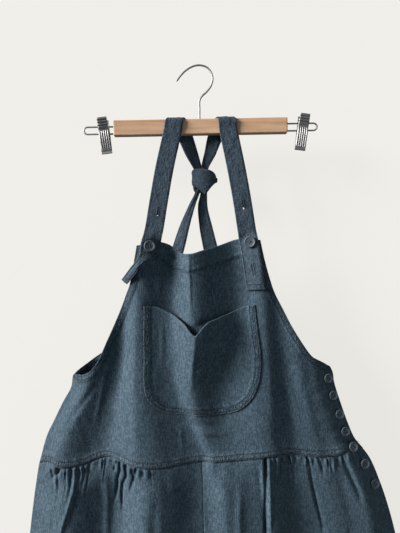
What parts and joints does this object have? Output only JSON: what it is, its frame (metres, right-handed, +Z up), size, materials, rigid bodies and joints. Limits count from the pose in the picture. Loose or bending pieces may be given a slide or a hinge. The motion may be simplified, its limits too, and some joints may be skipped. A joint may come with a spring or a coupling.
{
  "type": "overalls on a clip hanger",
  "caption": "Wide-leg linen bib overalls with a chest patch pocket, gathered waist and a buttoned side opening, hung by knotted straps over a wooden clip hanger.",
  "frame": {"origin": "inner crown of the hanger's hook, where a rail or peg carries it", "axes": "+X to the viewer's right across the garment, +Y away from the viewer towards the back of the garment, +Z up"},
  "size_m": [0.6089, 0.0901, 1.6109],
  "materials": {
    "linen": "washed dark indigo linen, plain weave with slubs",
    "button": "dark blue satin resin",
    "wood": "pale bare wood, lightly oiled",
    "metal": "bright plated steel"
  },
  "bodies": {
    "root": {"bib_front": "linen", "bib_pocket": "linen", "back_bodice": "linen", "front_leg_left": "linen", "front_leg_right": "linen", "back_leg_left": "linen", "back_leg_right": "linen", "strap_left_front": "linen", "strap_right_front": "linen", "strap_knot": "linen", "strap_left_back": "linen", "strap_right_back": "linen", "strap_button_left": "button", "strap_button_right": "button", "side_button_1": "button", "side_button_2": "button", "side_button_3": "button", "side_button_4": "button", "side_button_5": "button", "side_button_6": "button", "side_button_7": "button", "hanger_bar": "wood", "hanger_hook": "metal", "clip_rail_left": "metal", "clip_rail_right": "metal", "clip_front_left": "metal", "clip_back_left": "metal", "clip_pin_left": "metal", "clip_front_right": "metal", "clip_back_right": "metal", "clip_pin_right": "metal"}
  },
  "joints": []
}
